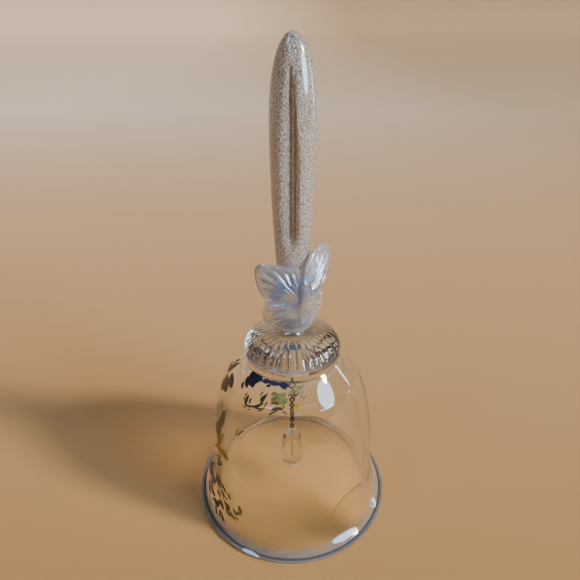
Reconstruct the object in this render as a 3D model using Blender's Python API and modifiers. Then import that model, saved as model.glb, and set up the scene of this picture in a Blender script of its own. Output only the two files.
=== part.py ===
"""Glass table bell: blown bell, pressed fluted crown, satin butterfly handle and a clapper on a chain.

Metres, +Z up. The origin is the centre of the rim on the surface that the bell stands on.
"""

import math

import bmesh
import bpy
from mathutils import Matrix, Vector

# Clearances
SEAM = 0.0003            # between solids that rest on or are bonded to each other
LINK_SLACK = 0.00015     # between two chain wires that hang on each other

# Bell body
RIM_RADIUS = 0.0400
LIP_ROUND = 0.0014       # radius of the fire-polished edge
FLARE_DROP = 0.0027      # height over which the flare dies away
WAIST_RADIUS = 0.0345    # the plain wall carried down to the rim's level
WALL_TAPER = 0.062       # loss of radius per unit of height
BODY_HEIGHT = 0.0713
TOP_RADIUS = 0.0182      # of the flat top that carries the crown
SHOULDER_POWER = 5.4     # how late the wall rounds in to the top
WALL = 0.0026
TOP_THICKNESS = 0.0053   # of the glass between the inside and the flat top, at the axis
CEILING_DROP = 0.0055    # where the inside leaves the wall's curve, below the ceiling

# Crown
BOND_THICKNESS = 0.0003
BOND_MARGIN = 0.0004     # of a film inside the edge of the face that it fills
CROWN_RING_RADIUS = 0.0181
CROWN_RING_HEIGHT = 0.0027
CROWN_DOME_RADIUS = 0.0177
CROWN_DOME_HEIGHT = 0.0070
CROWN_SHOULDER_RADIUS = 0.0083
NECK_RADIUS = 0.0060
NECK_HEIGHT = 0.0012
FLUTES = 36
FLUTE_DEPTH = 0.0004

# Handle
SPIGOT_RADIUS = 0.0035
SPIGOT_LENGTH = 0.0048
KNOP_RADIUS = 0.0094
KNOP_HEIGHT = 0.0230     # from the neck to where the shaft starts
SHAFT_FOOT_RADIUS = 0.0056
SHAFT_RADIUS = 0.0073
SHAFT_LENGTH = 0.0720
SHAFT_FLATNESS = 0.86    # front to back against side to side
GROOVE_HALF_WIDTH = 0.0031
GROOVE_DEPTH = 0.0012
GROOVE_TOP_MARGIN = 0.0085
GROOVE_LENGTH = 0.0570

# Butterfly, moulded on the knop
BUTTERFLY_TURN = math.radians(24.0)    # to the right of the front
WING_SWEEP = math.radians(35.0)
BUTTERFLY_REACH = 0.0092               # from the axis to its body
FOREWING = (0.0082, 0.0074)            # half length, half height
FOREWING_PLACE = (0.0098, 0.0212)      # out from the body, up from the neck
HINDWING = (0.0079, 0.0062)
HINDWING_PLACE = (0.0085, 0.0100)
WING_HALF_THICKNESS = 0.0011
BUTTERFLY_BODY = (0.0019, 0.0085)      # radius, half length

# Chain, hanger and clapper
WIRE = 0.00045
LINK_WIDTH = 0.0018
LINK_COUNT = 16
HANGER_DISC_RADIUS = 0.0027
HANGER_DISC_HEIGHT = 0.0010
HANGER_LOOP_HALF_WIDTH = 0.00085
HANGER_LOOP_LEG = 0.0012
CEMENT_RADIUS = 0.0044
EYE_RADIUS = 0.00095
EYE_STEM = 0.0128
CLAPPER_RADIUS = 0.0045
CLAPPER_LENGTH = 0.0186
CLAPPER_NECK_RADIUS = 0.0026
CLAPPER_FULLNESS = 0.35   # under 1 fills the drop out near its top
CLAPPER_FOOT = 0.0106    # height of its lowest point

# Round label
LABEL_RADIUS = 0.0104
LABEL_THICKNESS = 0.0002
LABEL_HEIGHT = 0.0124
LABEL_TURN = math.radians(-47.0)

# Places that follow
CROWN_BASE = BODY_HEIGHT + BOND_THICKNESS + 2 * SEAM
DOME_BASE = CROWN_BASE + CROWN_RING_HEIGHT
CROWN_TOP = DOME_BASE + CROWN_DOME_HEIGHT + NECK_HEIGHT
HANDLE_BASE = CROWN_TOP + BOND_THICKNESS + 2 * SEAM
SHAFT_BASE = HANDLE_BASE + KNOP_HEIGHT
SHAFT_TOP = SHAFT_BASE + SHAFT_LENGTH
CEILING = BODY_HEIGHT - TOP_THICKNESS
DISC_TOP = CEILING - 1.5 * SEAM
LOOP_LEG_TOP = DISC_TOP - HANGER_DISC_HEIGHT - SEAM
LOOP_BOTTOM = LOOP_LEG_TOP - HANGER_LOOP_LEG - HANGER_LOOP_HALF_WIDTH
LINK_HOOK = WIRE + LINK_SLACK                  # a link's top wire above the one it hangs on
CLAPPER_TOP = CLAPPER_FOOT + CLAPPER_LENGTH
EYE_CENTRE = CLAPPER_TOP + EYE_RADIUS + WIRE / 2 + SEAM
CLAPPER_PIVOT = EYE_CENTRE + EYE_RADIUS - LINK_HOOK
LINK_PITCH = (LOOP_BOTTOM - CLAPPER_PIVOT) / LINK_COUNT
LINK_DROP = LINK_PITCH + LINK_HOOK             # between a link's two end wires

TURN_STEPS = 48
MERGE = 0.00001


def clear_scene():
    """Take away everything that the file opens with."""
    for old in list(bpy.data.objects):
        bpy.data.objects.remove(old, do_unlink=True)


def collection(name):
    group = bpy.data.collections.new(name)
    bpy.context.scene.collection.children.link(group)
    return group


def finish(name, colour, roughness, metallic=0.0, transmission=0.0, ior=1.5):
    """A Principled material in linear colour."""
    material = bpy.data.materials.new(name)
    material.use_nodes = True
    shader = material.node_tree.nodes["Principled BSDF"]
    shader.inputs["Base Color"].default_value = (*colour, 1.0)
    shader.inputs["Roughness"].default_value = roughness
    shader.inputs["Metallic"].default_value = metallic
    shader.inputs["Transmission Weight"].default_value = transmission
    shader.inputs["IOR"].default_value = ior
    return material


def clear_glass(name):
    return finish(name, (0.93, 0.95, 0.96), 0.02, 0.0, 1.0, 1.52)


def brass(name):
    return finish(name, (0.36, 0.25, 0.11), 0.35, 1.0)


def add_object(name, data, material):
    thing = bpy.data.objects.new(name, data)
    data.materials.append(material)
    PARTS.objects.link(thing)
    return thing


def smooth(thing):
    thing.data.shade_smooth()
    thing.data.set_sharp_from_angle(angle=math.radians(35.0))


def turned(name, profile, material, steps=TURN_STEPS):
    """A profile of (radius, height) points, top to bottom down its outer side, spun about Z."""
    mesh = bpy.data.meshes.new(name)
    points = [(radius, 0.0, height) for radius, height in profile]
    edges = [(i, i + 1) for i in range(len(points) - 1)]
    mesh.from_pydata(points, edges, [])
    thing = add_object(name, mesh, material)
    screw = thing.modifiers.new("Turned", "SCREW")
    screw.axis = "Z"
    screw.steps = steps
    screw.render_steps = steps
    screw.use_merge_vertices = True
    screw.merge_threshold = MERGE
    screw.use_smooth_shade = True
    return thing


def as_mesh(thing):
    """Replace a curve, or an object with modifiers, by its evaluated mesh in world space."""
    bpy.context.view_layer.update()
    evaluated = thing.evaluated_get(bpy.context.evaluated_depsgraph_get())
    mesh = bpy.data.meshes.new_from_object(evaluated)
    mesh.transform(thing.matrix_world)
    work = bmesh.new()
    work.from_mesh(mesh)
    bmesh.ops.remove_doubles(work, verts=work.verts, dist=MERGE)
    work.to_mesh(mesh)
    work.free()
    name = thing.name
    bpy.data.objects.remove(thing, do_unlink=True)
    mesh.name = name
    solid = bpy.data.objects.new(name, mesh)
    PARTS.objects.link(solid)
    return solid


def combine(thing, tool, operation):
    """Join or cut with a hidden tool."""
    PARTS.objects.unlink(tool)
    CUTTERS.objects.link(tool)
    tool.hide_render = True
    tool.display_type = "WIRE"
    step = thing.modifiers.new(tool.name, "BOOLEAN")
    step.operation = operation
    step.object = tool
    step.solver = "EXACT"


def wire(name, points, material, cyclic):
    """Round wire along points, closed into a ring or with filled ends."""
    curve = bpy.data.curves.new(name, "CURVE")
    curve.dimensions = "3D"
    curve.bevel_depth = WIRE / 2
    curve.bevel_resolution = 1
    curve.use_fill_caps = not cyclic
    spline = curve.splines.new("POLY")
    spline.points.add(len(points) - 1)
    for place, point in zip(spline.points, points):
        place.co = (*point, 1.0)
    spline.use_cyclic_u = cyclic
    return add_object(name, curve, material)


# Bell body ------------------------------------------------------------------

def wall_radius(height):
    """Outer radius above the flare: a straight taper, less a power of the height for the shoulder."""
    taper = WAIST_RADIUS - WALL_TAPER * height
    shoulder = WAIST_RADIUS - WALL_TAPER * BODY_HEIGHT - TOP_RADIUS
    return taper - shoulder * (max(height, 0.0) / BODY_HEIGHT) ** SHOULDER_POWER


def outer_radius(height):
    """Outer radius with the flare, which dies away exponentially above the lip."""
    flare = RIM_RADIUS - wall_radius(LIP_ROUND)
    return wall_radius(height) + flare * math.exp(-(height - LIP_ROUND) / FLARE_DROP)


def outer_normal(height):
    """Unit vector (outwards, up) square to the outer surface."""
    step = 0.00005
    slope = (outer_radius(height + step) - outer_radius(height - step)) / (2 * step)
    size = math.hypot(1.0, slope)
    return 1.0 / size, -slope / size


def arc(centre, radius, start, end, count):
    """Points on an arc in the profile plane, angles in degrees from straight out."""
    points = []
    for i in range(count + 1):
        angle = math.radians(start + (end - start) * i / count)
        points.append((centre[0] + radius * math.cos(angle), centre[1] + radius * math.sin(angle)))
    return points


def body_heights():
    """Heights of the profile points: close together in the flare and the shoulder, wider between."""
    flare = [LIP_ROUND + FLARE_DROP * share for share in (0.25, 0.6, 1.0, 1.5, 2.2, 3.2)]
    above = BODY_HEIGHT - flare[-1]
    return flare + [flare[-1] + above * share for share in (0.2, 0.38, 0.54, 0.67, 0.77, 0.85, 0.91, 0.96)]


def inside_crown(start, slope):
    """Quadratic curve from the wall to the axis: it leaves along the wall and arrives level."""
    corner = (start[0] + slope * (CEILING - start[1]), CEILING)
    points = []
    for i in range(1, 6):
        t = i / 5
        radius = (1 - t) ** 2 * start[0] + 2 * t * (1 - t) * corner[0]
        height = (1 - t) ** 2 * start[1] + 2 * t * (1 - t) * corner[1] + t * t * CEILING
        points.append((radius, height))
    points[-1] = (0.0, CEILING)
    return points


def bell_body():
    """Blown bell with a flared, polished lip, a flat top for the crown and a domed inside."""
    heights = body_heights()
    outside = [(TOP_RADIUS, BODY_HEIGHT)] + [(outer_radius(h), h) for h in reversed(heights)]
    lip = arc((RIM_RADIUS - LIP_ROUND, LIP_ROUND), LIP_ROUND, 0, -90, 4)
    ground_edge = RIM_RADIUS - WALL
    inside = [(ground_edge, 0.0), (ground_edge - 0.4 * LIP_ROUND, 0.3 * LIP_ROUND)]
    slope = 0.0
    for h in heights:
        out, up = outer_normal(h)
        point = (outer_radius(h) - WALL * out, h - WALL * up)
        if inside[-1][1] + 0.15 * WALL < point[1] < CEILING - CEILING_DROP:
            inside.append(point)
            slope = -up / out
    inside += inside_crown(inside[-1], slope)
    return turned("bell_body", [(0.0, BODY_HEIGHT)] + outside + lip + inside, clear_glass("bell_glass"))


# Crown ----------------------------------------------------------------------

def crown_profile():
    """Socket for the spigot, neck, fluted dome, plain ring and flat base."""
    socket = SPIGOT_RADIUS + SEAM
    socket_floor = HANDLE_BASE - SPIGOT_LENGTH - SEAM
    points = [(0.0, socket_floor), (socket, socket_floor), (socket, CROWN_TOP), (NECK_RADIUS, CROWN_TOP)]
    dome_top = CROWN_TOP - NECK_HEIGHT
    spread = CROWN_DOME_RADIUS - CROWN_SHOULDER_RADIUS
    for i in range(7):
        angle = math.radians(90.0 * (1.0 - i / 6))
        radius = CROWN_SHOULDER_RADIUS + spread * math.cos(angle) ** 1.25
        height = DOME_BASE + (dome_top - DOME_BASE) * math.sin(angle) ** 1.25
        points.append((radius, height))
    round_off = CROWN_RING_HEIGHT / 3
    points += arc((CROWN_RING_RADIUS - round_off, DOME_BASE - round_off), round_off, 70, 0, 2)
    points += arc((CROWN_RING_RADIUS - round_off, CROWN_BASE + round_off), round_off, 0, -90, 3)
    return points + [(0.0, CROWN_BASE)]


def crown():
    """Pressed crown: radiating flutes, deepest halfway down the dome."""
    thing = as_mesh(turned("crown", crown_profile(), clear_glass("crown_glass"), steps=2 * FLUTES))
    low = DOME_BASE
    high = CROWN_TOP - NECK_HEIGHT
    for vertex in thing.data.vertices:
        radius = math.hypot(vertex.co.x, vertex.co.y)
        share = (vertex.co.z - low) / (high - low)
        if radius < NECK_RADIUS + SEAM or not 0.0 < share < 1.05:
            continue
        depth = FLUTE_DEPTH * math.sin(math.pi * min(share, 1.0) * 0.8 + 0.2)
        angle = math.atan2(vertex.co.y, vertex.co.x)
        shrink = 1.0 - depth * (0.5 + 0.5 * math.cos(FLUTES * angle)) / radius
        vertex.co.x *= shrink
        vertex.co.y *= shrink
    smooth(thing)
    return thing


def bond(name, radius, base, hole=0.0):
    """Thin film of clear adhesive, a disc or a washer."""
    top = base + BOND_THICKNESS
    material = finish("clear_adhesive", (0.85, 0.83, 0.75), 0.2, 0.0, 0.9, 1.48)
    profile = [(hole, top), (radius, top), (radius, base), (hole, base)]
    if hole:
        profile.append((hole, top))
    return turned(name, profile, material, steps=32)


# Handle ---------------------------------------------------------------------

def shaft_radius(share):
    """Half width along the shaft, 0 at its foot and 1 at its tip: a slow swell, then a round point."""
    rise = math.sin(0.5 * math.pi * min(share / 0.62, 1.0))
    swell = SHAFT_FOOT_RADIUS + (SHAFT_RADIUS - SHAFT_FOOT_RADIUS) * rise
    if share <= 0.62:
        return swell
    over = (share - 0.62) / 0.38
    return swell * math.sqrt(max(1.0 - over ** 2.6, 0.0))


def handle_profile():
    """Tip, shaft, knop and spigot, from top to bottom."""
    points = []
    shares = (1.0, 0.993, 0.975, 0.945, 0.9, 0.84, 0.76, 0.67, 0.56, 0.44, 0.32, 0.2, 0.1, 0.0)
    for share in shares:
        points.append((shaft_radius(share), SHAFT_BASE + SHAFT_LENGTH * share))
    for share, widen in ((0.82, 0.18), (0.62, 0.45), (0.42, 0.85), (0.25, 1.0), (0.12, 0.86), (0.0, 0.36)):
        radius = SHAFT_FOOT_RADIUS + (KNOP_RADIUS - SHAFT_FOOT_RADIUS) * widen
        points.append((radius, HANDLE_BASE + KNOP_HEIGHT * share))
    foot = HANDLE_BASE - SPIGOT_LENGTH
    return points + [(SPIGOT_RADIUS, HANDLE_BASE), (SPIGOT_RADIUS, foot), (0.0, foot)]


def flatten_shaft(thing):
    """Narrow the shaft from front to back, fading in above the knop."""
    for vertex in thing.data.vertices:
        share = (vertex.co.z - SHAFT_BASE + 0.5 * KNOP_HEIGHT) / KNOP_HEIGHT
        fade = min(max(share, 0.0), 1.0)
        vertex.co.y *= 1.0 - (1.0 - SHAFT_FLATNESS) * fade


def lobe(name, half_sizes, matrix, material, segments=14, rings=8):
    """A flattened ball, placed by a matrix."""
    mesh = bpy.data.meshes.new(name)
    work = bmesh.new()
    bmesh.ops.create_uvsphere(work, u_segments=segments, v_segments=rings, radius=1.0)
    bmesh.ops.scale(work, vec=Vector(half_sizes), verts=work.verts)
    bmesh.ops.transform(work, matrix=matrix, verts=work.verts)
    work.to_mesh(mesh)
    work.free()
    return add_object(name, mesh, material)


def groove_tool(side, material):
    """Long ball with a diamond section, whose edge cuts a lancet-shaped V groove."""
    high = SHAFT_TOP - GROOVE_TOP_MARGIN
    middle = high - GROOVE_LENGTH / 2
    face = SHAFT_RADIUS * SHAFT_FLATNESS
    name = "groove_front" if side < 0 else "groove_back"
    half = (GROOVE_HALF_WIDTH * 1.35, GROOVE_DEPTH * 2, GROOVE_LENGTH / 2)
    place = Matrix.Translation((0.0, side * (face + GROOVE_DEPTH * 0.8), middle))
    return lobe(name, half, place, material, segments=4, rings=10)


def wing_matrix(side, place):
    """Frame of one wing: X outwards along it, Z up, at its middle. Side is -1 for left, 1 for right."""
    facing = Vector((math.sin(BUTTERFLY_TURN), -math.cos(BUTTERFLY_TURN), 0.0))
    across = Vector((math.cos(BUTTERFLY_TURN), math.sin(BUTTERFLY_TURN), 0.0))
    out = side * across * math.cos(WING_SWEEP) - facing * math.sin(WING_SWEEP)
    up = Vector((0.0, 0.0, 1.0))
    depth = up.cross(out)
    centre = facing * BUTTERFLY_REACH + out * place[0] + up * (HANDLE_BASE + place[1])
    turn = Matrix((out, depth, up)).transposed().to_4x4()
    return Matrix.Translation(centre) @ turn


def handle():
    """Pressed handle: grooved shaft, knop and spigot, with the butterfly moulded on."""
    material = finish("satin_glass", (0.80, 0.79, 0.76), 0.35, 0.0, 0.6, 1.52)
    thing = as_mesh(turned("handle", handle_profile(), material, steps=28))
    flatten_shaft(thing)
    for side in (-1, 1):
        combine(thing, groove_tool(side, material), "DIFFERENCE")
    wings = (("forewing", FOREWING, FOREWING_PLACE), ("hindwing", HINDWING, HINDWING_PLACE))
    for side, hand in ((-1, "left"), (1, "right")):
        for kind, size, place in wings:
            half = (size[0], WING_HALF_THICKNESS, size[1])
            combine(thing, lobe(f"{kind}_{hand}", half, wing_matrix(side, place), material), "UNION")
    facing = Vector((math.sin(BUTTERFLY_TURN), -math.cos(BUTTERFLY_TURN), 0.0))
    middle = facing * BUTTERFLY_REACH + Vector((0.0, 0.0, HANDLE_BASE + 0.6 * KNOP_HEIGHT))
    radius, half_length = BUTTERFLY_BODY
    body = lobe("butterfly_body", (radius, radius, half_length), Matrix.Translation(middle), material, 10, 8)
    combine(thing, body, "UNION")
    smooth(thing)
    return thing


# Hanger, chain and clapper --------------------------------------------------

def hanger():
    """Disc and loop that the chain hangs on, with the cement that holds them to the ceiling."""
    metal = brass("hanger_brass")
    foot = DISC_TOP - HANGER_DISC_HEIGHT
    disc = [(0.0, DISC_TOP), (HANGER_DISC_RADIUS, DISC_TOP), (HANGER_DISC_RADIUS, foot), (0.0, foot)]
    turned("hanger_disc", disc, metal, steps=24)
    half = HANGER_LOOP_HALF_WIDTH
    bend = LOOP_BOTTOM + half
    points = [(half, 0.0, LOOP_LEG_TOP)]
    for i in range(9):
        angle = -math.pi * i / 8
        points.append((half * math.cos(angle), 0.0, bend + half * math.sin(angle)))
    points.append((-half, 0.0, LOOP_LEG_TOP))
    wire("hanger_loop", points, metal, cyclic=False)
    inner = HANGER_DISC_RADIUS + SEAM
    crest = CEILING - 2.5 * SEAM
    rim = foot + 0.3 * HANGER_DISC_HEIGHT
    ring = [(inner, crest), (CEMENT_RADIUS, crest), (inner + 0.5 * (CEMENT_RADIUS - inner), rim)]
    ring += [(inner, foot), (inner, crest)]
    turned("hanger_cement", ring, finish("cement", (0.8, 0.76, 0.66), 0.4, 0.0, 0.5, 1.48), steps=24)


def link_points(top, along_x):
    """Centre line of an oval link that hangs from height top, in the XZ or the YZ plane."""
    half = (LINK_WIDTH - WIRE) / 2
    straight = LINK_DROP - 2 * half
    points = []
    for i in range(14):
        angle = 2 * math.pi * (i + 0.5) / 14
        side = half * math.cos(angle)
        shift = 0.0 if math.sin(angle) > 0 else -straight
        height = top - half + shift + half * math.sin(angle)
        points.append((side, 0.0, height) if along_x else (0.0, side, height))
    return points


def chain():
    """Oval links, each turned a quarter against the one above, with its origin on the wire it hangs on."""
    metal = brass("chain_brass")
    for number in range(1, LINK_COUNT + 1):
        pivot = LOOP_BOTTOM - (number - 1) * LINK_PITCH
        along_x = number % 2 == 0
        points = link_points(LINK_HOOK, along_x)
        link = wire(f"chain_link_{number:02d}", points, metal, cyclic=True)
        link.location = (0.0, 0.0, pivot)


def eye_points():
    """Stem, then most of a turn of wire, in the YZ or the XZ plane, whichever the last link needs."""
    foot = EYE_CENTRE - EYE_RADIUS - EYE_STEM
    path = [(0.0, foot), (0.0, EYE_CENTRE - EYE_RADIUS - WIRE)]
    for i in range(12):
        angle = math.radians(-55.0 + 270.0 * i / 11)
        path.append((EYE_RADIUS * math.cos(angle), EYE_CENTRE + EYE_RADIUS * math.sin(angle)))
    if LINK_COUNT % 2 == 0:
        return [(0.0, side, height) for side, height in path]
    return [(side, 0.0, height) for side, height in path]


def clapper():
    """Clear glass drop on a brass eye pin; both turn about the last link's lower wire."""
    hinge = bpy.data.objects.new("clapper_hinge", None)
    hinge.location = (0.0, 0.0, CLAPPER_PIVOT)
    PARTS.objects.link(hinge)
    pin = wire("clapper_pin", eye_points(), brass("pin_brass"), cyclic=False)
    bore = WIRE / 2 + SEAM
    bore_floor = EYE_CENTRE - EYE_RADIUS - EYE_STEM - SEAM
    widest = CLAPPER_FOOT + CLAPPER_RADIUS
    profile = [(0.0, bore_floor), (bore, bore_floor), (bore, CLAPPER_TOP)]
    profile.append((CLAPPER_NECK_RADIUS * 0.8, CLAPPER_TOP))
    for i in range(1, 9):
        share = i / 8
        swell = 0.5 * (1.0 - math.cos(math.pi * share ** CLAPPER_FULLNESS))
        radius = CLAPPER_NECK_RADIUS + (CLAPPER_RADIUS - CLAPPER_NECK_RADIUS) * swell
        profile.append((radius, CLAPPER_TOP + (widest - CLAPPER_TOP) * share))
    profile += arc((0.0, widest), CLAPPER_RADIUS, -15, -90, 5)[:-1]
    profile.append((0.0, CLAPPER_FOOT))
    glass = turned("clapper_glass", profile, clear_glass("clapper_glass"), steps=24)
    for thing in (pin, glass):
        thing.parent = hinge
        thing.matrix_parent_inverse = hinge.matrix_basis.inverted()


# Label ----------------------------------------------------------------------

def label():
    """Blank round film that follows the wall: rings of points wrapped on the outer surface."""
    mesh = bpy.data.meshes.new("blank_label")
    work = bmesh.new()
    bmesh.ops.create_circle(work, cap_ends=True, segments=24, radius=LABEL_RADIUS)
    for _ in range(3):
        inner = [max(work.faces, key=lambda face: len(face.verts))]
        bmesh.ops.inset_region(work, faces=inner, thickness=LABEL_RADIUS / 4, use_boundary=True)
    for vertex in work.verts:
        height = LABEL_HEIGHT + vertex.co.y
        out, up = outer_normal(height)
        radius = outer_radius(height) + SEAM * out
        angle = LABEL_TURN + vertex.co.x / outer_radius(height)
        vertex.co = (radius * math.cos(angle), radius * math.sin(angle), height + SEAM * up)
    work.normal_update()
    outwards = Vector((math.cos(LABEL_TURN), math.sin(LABEL_TURN), 0.0))
    bmesh.ops.reverse_faces(work, faces=[face for face in work.faces if face.normal.dot(outwards) < 0.0])
    work.to_mesh(mesh)
    work.free()
    thing = add_object("blank_label", mesh, finish("clear_film", (0.9, 0.9, 0.88), 0.25, 0.0, 0.9, 1.45))
    film = thing.modifiers.new("Film", "SOLIDIFY")
    film.thickness = LABEL_THICKNESS
    film.offset = 1.0
    return thing


clear_scene()
PARTS = collection("glass_bell")
CUTTERS = collection("glass_bell_tools")
bell_body()
crown()
bond("crown_bond", CROWN_RING_RADIUS - CROWN_RING_HEIGHT / 3 - BOND_MARGIN, BODY_HEIGHT + SEAM)
handle()
bond("handle_bond", NECK_RADIUS - BOND_MARGIN, CROWN_TOP + SEAM, hole=SPIGOT_RADIUS + 2 * SEAM)
hanger()
chain()
clapper()
label()
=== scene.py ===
"""Looks of the glass table bell: clear blown bell, pressed fluted crown, satin butterfly handle,
dark brass chain with a glass drop, and enamel flowers and grass fired on the outside of the bell.

Metres, +Z up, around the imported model. Each surface is worked out as a whole numpy grid.
"""

import math

import bmesh
import bpy
import numpy as np
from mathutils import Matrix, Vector


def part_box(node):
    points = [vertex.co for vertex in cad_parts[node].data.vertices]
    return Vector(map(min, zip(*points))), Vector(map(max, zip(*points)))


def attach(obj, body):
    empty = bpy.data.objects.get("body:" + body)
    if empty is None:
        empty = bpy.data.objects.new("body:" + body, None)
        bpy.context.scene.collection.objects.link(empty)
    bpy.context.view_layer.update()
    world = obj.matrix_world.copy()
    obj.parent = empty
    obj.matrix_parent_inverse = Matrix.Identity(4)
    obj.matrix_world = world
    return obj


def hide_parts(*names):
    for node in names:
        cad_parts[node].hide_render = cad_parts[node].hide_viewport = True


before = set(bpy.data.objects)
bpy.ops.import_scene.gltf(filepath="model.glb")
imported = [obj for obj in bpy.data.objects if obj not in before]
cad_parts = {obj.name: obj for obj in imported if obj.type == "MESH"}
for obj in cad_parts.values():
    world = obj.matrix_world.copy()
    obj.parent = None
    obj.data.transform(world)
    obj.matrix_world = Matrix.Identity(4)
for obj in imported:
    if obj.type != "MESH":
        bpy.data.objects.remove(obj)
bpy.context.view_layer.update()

MM = 0.001

# Places taken from the model
BODY_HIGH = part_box("bell_body")[1]
CROWN_LOW, CROWN_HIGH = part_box("crown")
HANDLE_LOW, HANDLE_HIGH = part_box("handle")
DROP_LOW, DROP_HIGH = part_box("clapper_glass")
DISC_LOW, DISC_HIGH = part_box("hanger_disc")
LOOP_LOW, LOOP_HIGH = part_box("hanger_loop")
PIN_LOW, PIN_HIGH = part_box("clapper_pin")

# Bell body
RIM_RADIUS = BODY_HIGH.x
BODY_TOP = BODY_HIGH.z
LIP_ROUND = 1.4 * MM
FLARE_DROP = 2.7 * MM
WAIST_RADIUS = 34.5 * MM
WALL_TAPER = 0.062
TOP_RADIUS = 18.2 * MM
SHOULDER_POWER = 5.4
WALL = 2.6 * MM
CEILING = BODY_TOP - 5.3 * MM
CEILING_DROP = 5.5 * MM

# Crown
NECK_RADIUS = 6.0 * MM
NECK_HEIGHT = 1.2 * MM
RING_RADIUS = CROWN_HIGH.x
RING_HEIGHT = 2.7 * MM
DOME_RADIUS = 17.7 * MM
DOME_SHOULDER = 8.3 * MM
DOME_POWER = 1.25
SOCKET_GAP = 0.3 * MM
FLUTES = 36
FLUTE_DEPTH = 0.36 * MM

# Handle
SPIGOT_RADIUS = 3.5 * MM
SPIGOT_LENGTH = 4.8 * MM
KNOP_FOOT = HANDLE_LOW.z + SPIGOT_LENGTH
KNOP_HEIGHT = 23.0 * MM
SHAFT_BASE = KNOP_FOOT + KNOP_HEIGHT
SHAFT_LENGTH = HANDLE_HIGH.z - SHAFT_BASE
SHAFT_FOOT = 5.6 * MM
SHAFT_RADIUS = 7.3 * MM
SHAFT_FLATNESS = 0.86
SHAFT_SWELL = 0.62                     # share of the shaft's length where it is widest
SHAFT_POINT_POWER = 2.6
KNOP_RADIUS = 9.4 * MM
KNOP_SHARES = (0.0, 0.06, 0.12, 0.25, 0.42, 0.62, 0.82, 1.0)
KNOP_FULLNESS = (0.36, 0.66, 0.86, 1.0, 0.85, 0.45, 0.16, 0.0)
GROOVE_DEPTH = 2.2 * MM
GROOVE_ASIDE = 0.7 * MM
BUTTERFLY_TURN = math.radians(24.0)
WING_SWEEP = math.radians(35.0)
BUTTERFLY_REACH = 9.2 * MM

# Chain and clapper
WIRE = 0.45 * MM
LINK_WIRE = 0.55 * MM                  # thicker than WIRE, for a dense chain; hooked links just touch
LINK_COUNT = 16
CLAPPER_NECK = 2.6 * MM
CLAPPER_FULLNESS = 0.35
PIN_GAP = 0.06 * MM
EYE_RADIUS = 0.95 * MM

# Label
LABEL_RADIUS = 10.4 * MM
LABEL_TURN = math.radians(-47.0)
LABEL_LIFT = 0.33 * MM
LABEL_HALF_THICKNESS = 0.06 * MM

# Camera
CAMERA_LENS = 31.03
CAMERA_PLACE = (-0.00086, -0.1537, 0.1845)
CAMERA_TILT = math.radians(60.47)


# Nodes and materials --------------------------------------------------------

def colour(code):
    """sRGB hex to linear RGBA."""
    values = [int(code[i:i + 2], 16) / 255 for i in (1, 3, 5)]
    linear = [v / 12.92 if v <= 0.04045 else ((v + 0.055) / 1.055) ** 2.4 for v in values]
    return (*linear, 1.0)


def add(tree, kind, links=None, **settings):
    """One node: settings by name on the node or its sockets, links as {socket: output}."""
    node = tree.nodes.new(kind)
    for key, value in settings.items():
        if hasattr(node, key):
            setattr(node, key, value)
        else:
            node.inputs[key.replace("_", " ")].default_value = value
    for socket, output in (links or {}).items():
        tree.links.new(output, node.inputs[socket])
    return node


def ramp(tree, fac, stops):
    """Colour ramp through (place, hex) stops."""
    node = add(tree, "ShaderNodeValToRGB", {"Fac": fac})
    elements = node.color_ramp.elements
    while len(elements) < len(stops):
        elements.new(0.5)
    for element, (place, code) in zip(elements, stops):
        element.position = place
        element.color = colour(code)
    return node.outputs["Color"]


def levels(tree, fac, low, high):
    """Spread a 0 to 1 value over low to high."""
    node = add(tree, "ShaderNodeMapRange", {"Value": fac}, To_Min=low, To_Max=high)
    return node.outputs["Result"]


def finish(name, **constants):
    """A Principled material with the constants set on the shader's own sockets."""
    material = bpy.data.materials.new(name)
    material.use_nodes = True
    tree = material.node_tree
    shader = tree.nodes["Principled BSDF"]
    for key, value in constants.items():
        shader.inputs[key.replace("_", " ")].default_value = value
    place = add(tree, "ShaderNodeTexCoord").outputs["Object"]
    return material, tree, shader, place


def let_sun_through(tree, shader, square, grazing):
    """Clear glass lets daylight through to what stands behind it, most where the light meets it square.
    It stands in for bent light, and only shadow rays see it."""
    facing = add(tree, "ShaderNodeLayerWeight", Blend=0.5).outputs["Facing"]
    passed = ramp(tree, facing, [(0.15, square), (0.7, grazing)])
    window = add(tree, "ShaderNodeBsdfTransparent", {"Color": passed})
    shadow = add(tree, "ShaderNodeLightPath").outputs["Is Shadow Ray"]
    both = add(tree, "ShaderNodeMixShader",
               {0: shadow, 1: shader.outputs["BSDF"], 2: window.outputs["BSDF"]})
    tree.links.new(both.outputs["Shader"], tree.nodes["Material Output"].inputs["Surface"])


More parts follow.
